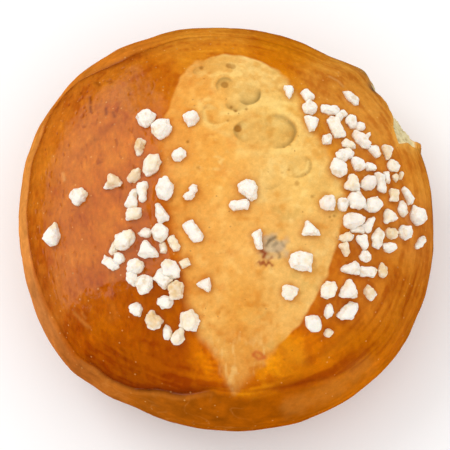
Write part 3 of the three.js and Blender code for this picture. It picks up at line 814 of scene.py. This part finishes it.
# Outlines of the kinds of grain, from above, in half lengths along x and half widths along y.
KINDS = {
    "round": (
        (
            (1, 0.2), (0.55, 0.85), (-0.15, 1), (-0.85, 0.6), (-1, -0.25), (-0.5, -0.9), (0.3, -1),
            (0.85, -0.6),
        ),
    ),
    "nugget": (((1, 0.1), (0.6, 0.85), (-0.3, 1), (-0.95, 0.45), (-0.9, -0.45), (-0.25, -1), (0.65, -0.8)),),
    "block": (((0.95, 0.6), (0.7, 0.95), (-0.8, 0.9), (-1, 0.5), (-0.9, -0.75), (0.8, -1)),),
    "bar": (((1, 0.35), (0.8, 0.9), (-0.8, 1), (-1, 0.3), (-0.85, -0.85), (0.75, -1)),),
    "wedge": (((1, -0.1), (0.85, 0.35), (-0.7, 1), (-1, 0.75), (-0.95, -0.6), (-0.7, -1), (0.8, -0.45)),),
    "triangle": (((1, 0), (0.8, 0.3), (-0.75, 1), (-1, 0.8), (-0.9, -0.85), (-0.6, -1), (0.75, -0.25)),),
    "drop": (
        ((1, 0), (0.6, 0.5), (-0.1, 0.95), (-0.75, 0.8), (-1, 0), (-0.7, -0.85), (0, -1), (0.65, -0.5)),
    ),
    "kidney": (
        ((1, 0.6), (0.6, 1), (-0.05, 0.75), (-0.2, 0), (0.3, -0.5), (0.9, -0.15)),
        ((0.3, 0.3), (0.25, -0.6), (-0.4, -1), (-0.95, -0.7), (-1, 0.1), (-0.4, 0.55)),
    ),
}

# Where the sugar lies. Each row is one lump of grains: (kind, x, y, length, width, turn of the length).
SUGAR = {
    "left": (
        (("nugget", -34, 3, 4.6, 3.9, 10),),
        (("triangle", -26, 6, 3.7, 4.1, 95),),
        (("nugget", -18.5, 20.5, 4.7, 4.4, 60), ("nugget", -15, 18, 5.5, 5, -50)),
        (("round", -8, 20.5, 3.8, 3.6, 60),),
        (("kidney", -20, 14, 4, 3.2, 50),),
        (("nugget", -11, 11.5, 3.9, 3.4, 30),),
        (("nugget", -17, 9.5, 6, 4.3, 55), ("drop", -21, 7, 4.4, 2.8, 55)),
        (("wedge", -19, 3, 4.9, 3.2, -85),),
        (("wedge", -21.5, 1.5, 5.2, 2.9, 75), ("nugget", -21, -2, 4.2, 3.6, 25)),
        (("nugget", -14, 3.5, 5.4, 4.4, 75),),
        (("kidney", -8, 2.5, 4.2, 3.2, 30),),
        (
            ("wedge", -15, -2, 5.2, 3.4, 110), ("nugget", -15, -6.5, 4.2, 4.1, -30),
            ("bar", -14.5, -10, 2.9, 1.8, -75), ("kidney", -12, -9, 4.3, 2.8, 95),
        ),
        (("drop", -18.5, -6.5, 3.5, 2.6, 180), ("triangle", -18, -10, 4.9, 4.7, 95)),
        (
            ("nugget", -23, -8, 6, 4.3, 50), ("bar", -25.5, -9.5, 3.2, 1.9, 70),
            ("nugget", -24.5, -12, 3, 3, 80),
            ("bar", -26.5, -13, 4.6, 2.5, -35),
        ),
        (
            ("nugget", -20.5, -14, 4.6, 3.4, -10), ("nugget", -21.5, -16.5, 4.1, 2.7, -75),
            ("nugget", -18.5, -18, 4.8, 4.1, -70),
        ),
        (
            ("block", -9.5, -13.5, 2.9, 2.5, 25), ("nugget", -12.5, -15, 5.8, 4, -45),
            ("block", -14.5, -17, 4.4, 3.7, -35), ("block", -11.5, -19.5, 4.6, 4, -80),
            ("nugget", -14, -22, 3.9, 3.2, -10),
        ),
        (("triangle", -4.5, -18, 3.5, 3.2, 60),),
        (("round", -20.5, -23.5, 3.6, 3.5, 0),),
        (("round", -16.5, -26, 4.4, 3.8, -50),),
        (
            ("drop", -13.5, -28.5, 3.9, 2.5, 100), ("drop", -11, -29.5, 4.6, 3.4, 60),
            ("round", -8.5, -26, 5, 4.7, 60),
        ),
        (("drop", -40, -5, 6, 4.4, 75),),
        (("bar", -7.5, -6.5, 6, 3.2, -55),),
    ),
    "middle": (
        (("drop", 5, 3, 6, 5, -72), ("bar", 3, -0.5, 4.6, 2.7, 8)),
        (("wedge", 7, -8.5, 4.6, 3, -80),),
        (("triangle", 19, -6, 4.2, 4.1, -25),),
        (("drop", 16.5, -13, 6.9, 4.8, 176),),
        (("nugget", 14, -20, 3.9, 3.6, -20),),
    ),
    "right": (
        (("wedge", 14.5, 27.5, 3.7, 2.8, -85),),
        (("block", 18.5, 27, 3.5, 2.5, -50), ("round", 19, 23.5, 3.7, 3.5, 0)),
        (("wedge", 19.5, 19.5, 4.6, 3.8, -95),),
        (("bar", 24, 23.5, 5.5, 2.5, -3), ("kidney", 26.5, 22.5, 3.5, 2.5, 20)),
        (("nugget", 29, 21, 4, 3, 100), ("nugget", 31, 20, 3.4, 2.4, 45)),
        (("bar", 25, 19, 6.2, 3.3, -62), ("round", 23, 16, 3, 2.6, 90)),
        (
            ("bar", 32.5, 17.5, 2.9, 1.4, 60), ("nugget", 31, 16.5, 5.5, 3.4, -42),
            ("drop", 34, 14, 4.2, 2.7, -50),
        ),
        (("kidney", 28, 15, 3.6, 2.7, -45), ("nugget", 27, 12.5, 5, 3, 18), ("nugget", 25.5, 9, 4.4, 4, 70)),
        (
            ("wedge", 37, 14, 3.8, 3, -95), ("nugget", 38.5, 11, 3.8, 3.3, -10),
            ("triangle", 39, 8, 2.1, 1.9, -70),
        ),
        (("drop", 40.5, 9, 2.3, 1.5, 80),),
        (("nugget", 30, 10.5, 4.1, 3.3, -65), ("nugget", 33, 10, 3.1, 2.6, 20)),
        (
            ("triangle", 28.5, 6, 4.2, 4.1, 90), ("nugget", 32.5, 6, 5, 3.6, 50),
            ("bar", 35.5, 6.5, 5.2, 2.8, 95),
            ("bar", 37, 8, 3.3, 1.7, -80),
        ),
        (
            ("nugget", 23, 0.5, 4.5, 3.9, 60), ("nugget", 26.5, 0.5, 3.8, 3.1, -75),
            ("nugget", 29.5, 1.5, 4.8, 4.2, -35), ("nugget", 33.5, 1, 4.8, 4.1, 40),
        ),
        (("block", 38.5, 4, 3.8, 2.8, -85),),
        (("bar", 42, 4.5, 4.9, 2.4, -62), ("nugget", 40.5, 1, 3.9, 2.7, -85)),
        (("triangle", 37, -1, 4, 3.8, 110),),
        (("nugget", 44, 0, 5, 4.6, -50),),
        (("nugget", 29, -3, 6, 3.9, 14), ("wedge", 32.5, -3.5, 4.4, 3, 55), ("bar", 30, -5, 3.9, 1.8, 0)),
        (("wedge", 31, -8, 3.9, 3.5, -75), ("nugget", 31.5, -11, 3.2, 3, 20)),
        (("drop", 27, -7, 4.2, 2.3, 200), ("wedge", 27, -10, 3.9, 2.8, -70)),
        (("nugget", 34.5, -6.5, 5.2, 3.2, 75), ("nugget", 37, -8.5, 3.6, 3.1, -10)),
        (("nugget", 38, -5, 3.3, 2.8, 10), ("nugget", 41, -4.5, 4.4, 4, -50)),
        (("kidney", 45, -6, 4.8, 2.4, 45),),
        (
            ("wedge", 28, -14, 5.2, 3.4, 190), ("bar", 32, -14.5, 4.9, 2.5, 3),
            ("nugget", 35.5, -14, 3.7, 2.7, -80),
        ),
        (("nugget", 23, -19, 4.6, 4.1, 60),),
        (("triangle", 27.5, -18.5, 4.6, 4.4, 85),),
        (("nugget", 32.5, -19, 4, 3, -55),),
        (("drop", 23, -23.5, 4, 2.4, 80),),
        (("nugget", 27.5, -23.5, 5.9, 3.6, 42),),
        (("nugget", 19.5, -26.5, 4.7, 4.3, -60),),
        (("round", 23, -28.5, 2.4, 2.2, 0),),
        (("drop", 29, 27.5, 5.6, 2.6, 142),),
    ),
}  # fmt: skip
GRAIN_FACE = 0.17  # the size of a grain's faces
GRAIN_SUNK = 0.3  # how deep a grain sits in the crust
GRAIN_HEIGHT = 0.66  # of its width, but kept between the next two
FLATTEST, TALLEST = 1.3, 3


def hull_mesh(lobes):
    """A mesh of the convex hulls of several groups of corners."""
    solid = bmesh.new()
    for corners in lobes:
        verts = [solid.verts.new(corner) for corner in corners]
        result = bmesh.ops.convex_hull(solid, input=verts)
        inner = [g for g in result["geom_interior"] if isinstance(g, bmesh.types.BMVert)]
        bmesh.ops.delete(solid, geom=inner, context="VERTS")
    mesh = bpy.data.meshes.new("hull")
    solid.to_mesh(mesh)
    solid.free()
    return mesh


def rounded_mesh(mesh):
    """Remeshes a solid into small even faces and wears its edges down."""
    holder = new_object("holder", mesh)
    remesh = holder.modifiers.new("voxels", "REMESH")
    remesh.mode = "VOXEL"
    remesh.voxel_size = GRAIN_FACE
    bpy.context.view_layer.update()
    even = bpy.data.meshes.new_from_object(holder.evaluated_get(bpy.context.evaluated_depsgraph_get()))
    bpy.data.objects.remove(holder)
    points = points_of(even)
    edges = np.zeros(len(even.edges) * 2, np.int32)
    even.edges.foreach_get("vertices", edges)
    a, b = edges.reshape(-1, 2).T
    count = np.bincount(np.concatenate([a, b]), minlength=len(points))[:, None]
    for _ in range(2):
        total = np.zeros_like(points)
        np.add.at(total, a, points[b])
        np.add.at(total, b, points[a])
        points = points + 0.5 * (total / count - points)
    move_points(even, points)
    return even


def grain_shape(kind, length, width, dice, bumpy):
    """Points and faces of one grain that lies at the origin with its length along x."""
    thickness = min(max(GRAIN_HEIGHT * width, FLATTEST), TALLEST)
    lobes = []
    for outline in KINDS[kind]:
        corners = []
        for along, across in outline:
            x, y = along * length / 2, across * width / 2
            belly, crown = dice.uniform(0.88, 1.07), dice.uniform(0.45, 0.8)
            x, y = x + dice.normal(0, 0.038 * length), y + dice.normal(0, 0.038 * width)
            corners.append((0.86 * x, 0.86 * y, -0.2))
            corners.append((belly * x, belly * y, thickness * dice.uniform(0.2, 0.5)))
            corners.append((crown * x, crown * y, thickness * dice.uniform(0.75, 1.05)))
        lobes.append(corners)
    mesh = rounded_mesh(hull_mesh(lobes))
    points, normals = points_of(mesh), normals_of(mesh)
    shift = dice.uniform(0, 50)
    knobs = bumpy * 0.5 * (0.55 - crystals(points, 1.5, shift))
    knobs += (0.05 + 0.1 * bumpy) * (0.5 - crystals(points, 0.65, shift))
    knobs += 0.2 * noise(points, 1.3, shift + 5) + 0.07 * noise(points, 0.6, shift + 7)
    knobs += 0.03 * noise(points, 0.35, shift + 9)
    points = points + normals * knobs[:, None]
    mesh.calc_loop_triangles()
    faces = np.zeros(len(mesh.loop_triangles) * 3, np.int32)
    mesh.loop_triangles.foreach_get("vertices", faces)
    bpy.data.meshes.remove(mesh)
    return points, faces.reshape(-1, 3)


def grain_seat(x, y, turn, shift, crust_points):
    """The point of the crust that a grain sits on, and the grain's axes: along, across and outward."""
    at_x, at_y = np.array([x]), np.array([y])
    up = dome_normal(at_x, at_y)[0]
    along = np.array([math.cos(math.radians(turn)), math.sin(math.radians(turn)), 0])
    along[2] = -(along @ up) / up[2]
    along /= np.linalg.norm(along)
    seat = np.array([x + shift[0], y + shift[1], dome_height(at_x, at_y)[0]])
    nearest = np.argmin(((crust_points - seat) ** 2).sum(1))
    seat = seat + up * ((crust_points[nearest] - seat) @ up)
    return seat, np.stack([along, np.cross(up, along), up])


def note_nearness(nearness, crust_points, seat, axes, kind, length, width):
    """Notes how near each point of the crust is to one grain, where that is nearer than before."""
    close = np.flatnonzero(np.abs(crust_points - seat).max(1) < length)
    flat = ((crust_points[close] - seat) @ axes.T)[:, :2]
    gap = np.full(len(close), FAR)
    for outline in KINDS[kind]:
        edge = np.array(outline) * (0.46 * length, 0.46 * width)
        gap = np.minimum(gap, np.where(inside(flat, edge), 0, path_distance(flat, edge, closed=True)))
    nearness[close] = np.minimum(nearness[close], gap)


def within(spots, x, y, radius):
    """1 near the middle of a round spot of the plan, 0 outside it."""
    return ease(radius * 1.15, radius * 0.6, np.hypot(spots[:, 0] - x, spots[:, 1] - y))


def grain_colours(placed, spots, height):
    """White with creamy clouds, toasted or pinkish where the lists say so, and tan near the crust as painted
    shade.
    """
    creamy = ease(0.15, 1.1, cloud(placed, 1.2, 3, 230))
    colours = mix(plain(placed, (249, 241, 229)), srgb(234, 216, 190), creamy)
    patchy = np.clip(0.75 + 0.45 * cloud(placed, 1.0, 2, 240), 0.25, 1.15)
    for x, y, radius, toasted in TOASTED:
        share = within(spots, x, y, radius) * patchy * 0.75
        colours = mix(colours, srgb(246, 224, 182), share * min(toasted, 1))
        if toasted > 1:
            colours = mix(colours, srgb(226, 184, 120), share * (toasted - 1) * 1.4)
    for x, y, radius in PINKISH:
        colours = mix(colours, srgb(246, 228, 212), 0.4 * within(spots, x, y, radius))
    # Painted shade: tan low on each grain, where it meets the crust.
    return mix(colours, srgb(234, 192, 138), 0.55 * ease(1.0, 0.25, height))


def build_lump(name, grains, shift, crust_points, nearness):
    """The grains of one lump, set on the crust. Keeps note of how near the crust's points are to them."""
    all_points, all_faces, all_colours = [], [], []
    start = 0
    for kind, x, y, length, width, turn in grains:
        dice = np.random.default_rng(int(1000 + 10 * x) * 997 + int(1000 + 10 * y))
        warmth = max(min(t, 1.6) * (math.hypot(x - tx, y - ty) < 1.6) for tx, ty, _, t in TOASTED)
        bumpy = dice.uniform(0.35, 0.8) + 0.5 * warmth
        points, faces = grain_shape(kind, length, width, dice, bumpy)
        seat, axes = grain_seat(x, y, turn, shift, crust_points)
        note_nearness(nearness, crust_points, seat, axes, kind, length, width)
        placed = seat + (points - (0, 0, GRAIN_SUNK)) @ axes
        all_points.append(placed)
        all_faces.append(faces + start)
        all_colours.append(grain_colours(placed, placed[:, :2] - shift, points[:, 2]))
        start += len(placed)
    mesh = new_mesh(name + "_grain", np.concatenate(all_points), np.concatenate(all_faces))
    colour_attribute(mesh, "tone", np.concatenate(all_colours))
    return new_object(name + "_grain", mesh)


# ---------------------------- materials


class Nodes:
    """Adds nodes to a material and joins their sockets."""

    def __init__(self, name):
        self.material = bpy.data.materials.new(name)
        self.material.use_nodes = True
        self.tree = self.material.node_tree
        self.tree.nodes.clear()

    def add(self, kind, settings=(), **inputs):
        node = self.tree.nodes.new(kind)
        for key, value in dict(settings).items():
            setattr(node, key, value)
        for key, value in inputs.items():
            self.set(node, key.replace("_", " "), value)
        return node

    def set(self, node, key, value):
        """Sets a socket, or links to it. The key is its name, or the letter i and its number."""
        socket = node.inputs[int(key[1:])] if key[0] == "i" and key[1:].isdigit() else node.inputs[key]
        if isinstance(value, bpy.types.NodeSocket):
            self.tree.links.new(value, socket)
        else:
            socket.default_value = value

    def attribute(self, name, output="Fac"):
        return self.add("ShaderNodeAttribute", {"attribute_name": name}).outputs[output]

    def maths(self, operation, a, b=0.0):
        return self.add("ShaderNodeMath", {"operation": operation}, i0=a, i1=b).outputs[0]

    def ramp(self, value, low, high, to_low=0.0, to_high=1.0, smooth=False):
        kind = {"interpolation_type": "SMOOTHSTEP" if smooth else "LINEAR"}
        limits = {"From_Min": low, "From_Max": high, "To_Min": to_low, "To_Max": to_high}
        return self.add("ShaderNodeMapRange", kind, Value=value, **limits).outputs["Result"]

    def mix(self, share, a, b, blend="MIX"):
        kind = {"data_type": "RGBA", "blend_type": blend, "clamp_result": False}
        return self.add("ShaderNodeMix", kind, i0=share, i6=a, i7=b).outputs[2]

    def millimetres(self, scale=(1, 1, 1)):
        where = self.add("ShaderNodeTexCoord").outputs["Object"]
        mapping = self.add("ShaderNodeMapping", Vector=where)
        mapping.inputs["Scale"].default_value = [s / MM for s in scale]
        return mapping.outputs["Vector"]

    def grain(self, where, scale, detail=2.0, roughness=0.5):
        noise = self.add("ShaderNodeTexNoise", Vector=where, Scale=scale, Detail=detail, Roughness=roughness)
        return noise.outputs["Fac"]

    def finish(self, shader):
        output = self.add("ShaderNodeOutputMaterial")
        self.tree.links.new(shader.outputs[0], output.inputs["Surface"])
        return self.material


def crust_material():
    n = Nodes("baked_crust")
    base = n.attribute("baked", "Color")
    glaze = n.attribute("glaze")
    streaky = n.attribute("streaky")
    here = n.millimetres()
    stretched = n.millimetres((1.4, 0.6, 0.7))

    mottle = n.grain(here, 0.9, 3, 0.6)
    fine = n.grain(here, 3.2, 2, 0.6)
    streak = n.grain(stretched, 1.0, 3, 0.6)
    colour = n.mix(1.0, base, n.ramp(mottle, 0.25, 0.75, 0.9, 1.1), "MULTIPLY")
    colour = n.mix(1.0, colour, n.ramp(fine, 0.25, 0.75, 0.94, 1.06), "MULTIPLY")
    streak_tone = n.ramp(streak, 0.3, 0.7, 0.88, 1.07)
    colour = n.mix(streaky, colour, n.mix(1.0, colour, streak_tone, "MULTIPLY"))

    # Tiny bubbles of the skin, some pale and some dark; the pale specks are partly painted glints on the
    # bubbles.
    cells = n.add("ShaderNodeTexVoronoi", {"feature": "F1"}, Vector=here, Scale=0.55)
    chance = n.add("ShaderNodeSeparateColor", Color=cells.outputs["Color"])
    pale_spot_and_glint = n.ramp(cells.outputs["Distance"], 0.07, 0.16, 1, 0, True)
    dark_spot = n.ramp(cells.outputs["Distance"], 0.07, 0.15, 1, 0, True)
    pale_speck_and_glint = n.maths("MULTIPLY", pale_spot_and_glint, n.ramp(chance.outputs[0], 0.48, 0.49))
    dark_speck = n.maths("MULTIPLY", dark_spot, n.ramp(chance.outputs[1], 0.8, 0.81))
    colour = n.mix(n.maths("MULTIPLY", pale_speck_and_glint, 0.4), colour, (0.82, 0.45, 0.14, 1))
    colour = n.mix(n.maths("MULTIPLY", dark_speck, 0.4), colour, (0.25, 0.08, 0.01, 1))

    height = n.grain(here, 0.7, 3, 0.55)
    height = n.maths("ADD", height, n.maths("MULTIPLY", n.grain(here, 2.6, 2, 0.6), 0.25))
    height = n.maths("ADD", height, n.maths("MULTIPLY", n.maths("MULTIPLY", streak, streaky), 0.8))
    height = n.maths("SUBTRACT", height, n.maths("MULTIPLY", dark_speck, 0.5))
    relief = n.add("ShaderNodeBump", Height=height, Strength=0.5, Distance=0.0001)

    shader = n.add("ShaderNodeBsdfPrincipled", Base_Color=colour, Normal=relief.outputs[0])
    skin = n.add("ShaderNodeBump", Height=height, Strength=0.2, Distance=0.0001)
    n.set(shader, "Coat Normal", skin.outputs[0])
    n.set(shader, "Roughness", n.ramp(glaze, 0, 1, 0.7, 0.5))
    n.set(shader, "Coat Weight", n.maths("MULTIPLY", glaze, 0.9))
    shader.inputs["Coat Roughness"].default_value = 0.1
    shader.inputs["Coat IOR"].default_value = 1.5
    shader.inputs["Specular IOR Level"].default_value = 0.0
    return n.finish(shader)


def sugar_material():
    n = Nodes("pearl_sugar")
    here = n.millimetres()
    tone = n.attribute("tone", "Color")
    facets = n.add("ShaderNodeTexVoronoi", {"feature": "F1"}, Vector=here, Scale=2.6)
    fine = n.grain(here, 4.0, 3, 0.6)
    colour = n.mix(1.0, tone, n.ramp(fine, 0.3, 0.7, 0.95, 1.02), "MULTIPLY")
    height = n.maths("MULTIPLY", facets.outputs["Distance"], 0.6)
    height = n.maths("ADD", height, n.maths("MULTIPLY", fine, 0.5))
    relief = n.add("ShaderNodeBump", Height=height, Strength=0.5, Distance=0.00008)
    shader = n.add("ShaderNodeBsdfPrincipled", Base_Color=colour, Normal=relief.outputs[0])
    shader.inputs["Roughness"].default_value = 0.55
    shader.inputs["Specular IOR Level"].default_value = 0.3
    shader.inputs["Subsurface Weight"].default_value = 0.35
    shader.inputs["Subsurface Radius"].default_value = (1.0, 0.8, 0.6)
    shader.inputs["Subsurface Scale"].default_value = 0.0007
    return n.finish(shader)


# ---------------------------- putting it together

crust_mesh, crust_colours, plan_shift, crust_points = build_roll()
sugar = sugar_material()
nearness = np.full(len(crust_points), FAR)  # from each point of the crust to the nearest grain
for side_name, lumps in SUGAR.items():
    for number, grains in enumerate(lumps, 1):
        node_name = f"sugar_{side_name}_{number:02d}"
        lump = build_lump(node_name, grains, plan_shift, crust_points, nearness)
        lump.data.materials.append(sugar)
        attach(lump, "root")
        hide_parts(node_name)

# The crust is browner close to each grain: painted contact shade.
crust_colours = mix(crust_colours * SKIN_SHADE, srgb(172, 88, 26), 0.32 * ease(1.4, 0.1, nearness))
colour_attribute(crust_mesh, "baked", crust_colours)

roll = new_object("roll_crust", crust_mesh)
crust_mesh.materials.append(crust_material())
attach(roll, "root")
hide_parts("roll")

# ---------------------------- the studio

FLOOR_HALF = 3000.0
floor_corners = np.array([[-1, -1, 0], [1, -1, 0], [1, 1, 0], [-1, 1, 0]]) * FLOOR_HALF
floor_mesh = new_mesh("floor", floor_corners, np.array([[0, 1, 2, 3]]))
floor = new_object("floor", floor_mesh)
floor_nodes = Nodes("pale_floor")
floor_shader = floor_nodes.add("ShaderNodeBsdfPrincipled")
floor_shader.inputs["Base Color"].default_value = (0.97, 0.97, 0.97, 1)
floor_shader.inputs["Roughness"].default_value = 0.9
floor_shader.inputs["Specular IOR Level"].default_value = 0.0
floor_mesh.materials.append(floor_nodes.finish(floor_shader))
floor.visible_glossy = False


def soft_light(name, location, target, size, watts, diffuse=True, glossy=True):
    data = bpy.data.lights.new(name, "AREA")
    data.shape = "RECTANGLE"
    data.size, data.size_y = size
    data.energy = watts
    lamp = new_object(name, data)
    lamp.location = location
    lamp.rotation_euler = (Vector(target) - Vector(location)).to_track_quat("-Z", "Y").to_euler()
    lamp.visible_diffuse = diffuse
    lamp.visible_glossy = glossy


# The sky lights the crust evenly, and is not seen in the glaze.
world = bpy.data.worlds.new("studio")
world.use_nodes = True
world.node_tree.nodes["Background"].inputs["Color"].default_value = (1, 1, 1, 1)
world.node_tree.nodes["Background"].inputs["Strength"].default_value = 1.0
world.cycles_visibility.glossy = False
bpy.context.scene.world = world
bpy.context.scene.view_settings.view_transform = "Standard"

KEY_PLACE, KEY_TARGET, KEY_SIZE, KEY_WATTS = (-0.9, 0.7, 1.3), (0, 0, 0.03), (0.9, 0.9), 6.0
soft_light("key", KEY_PLACE, KEY_TARGET, KEY_SIZE, KEY_WATTS, glossy=False)
# The window is only seen in the glaze. Its front edge is crisp. It grows dim towards the back and the floor.
WINDOW_X = -0.5
WINDOW_WATTS = 3.3  # for each square metre at full strength
WINDOW_COLUMNS = ((-0.18, 0.95, 1.0), (0.95, 1.15, 0.6), (1.15, 1.35, 0.25))  # from y, to y, strength
WINDOW_ROWS = ((0.2, 1.6, 1.0), (0.1, 0.2, 0.7), (0.01, 0.1, 0.4))  # from z, to z, strength
for from_y, to_y, column_strength in WINDOW_COLUMNS:
    for from_z, to_z, row_strength in WINDOW_ROWS:
        centre = ((from_y + to_y) / 2, (from_z + to_z) / 2)
        size = (to_y - from_y, to_z - from_z)
        watts = WINDOW_WATTS * column_strength * row_strength * size[0] * size[1]
        soft_light("window", (WINDOW_X, *centre), (0, *centre), size, watts, diffuse=False)

camera_data = bpy.data.cameras.new("camera")
camera_data.lens = 150
camera = new_object("camera", camera_data)
ELEVATION = math.radians(78)
AIM = Vector((-0.24, 0.71, 18.95)) * MM
CAMERA_DISTANCE = 452.8
toward_camera = Vector((0, -math.cos(ELEVATION), math.sin(ELEVATION)))
camera.location = AIM + toward_camera * CAMERA_DISTANCE * MM
camera.rotation_euler = (-toward_camera).to_track_quat("-Z", "Y").to_euler()
camera_data.clip_start, camera_data.clip_end = 0.01, 50
bpy.context.scene.camera = camera
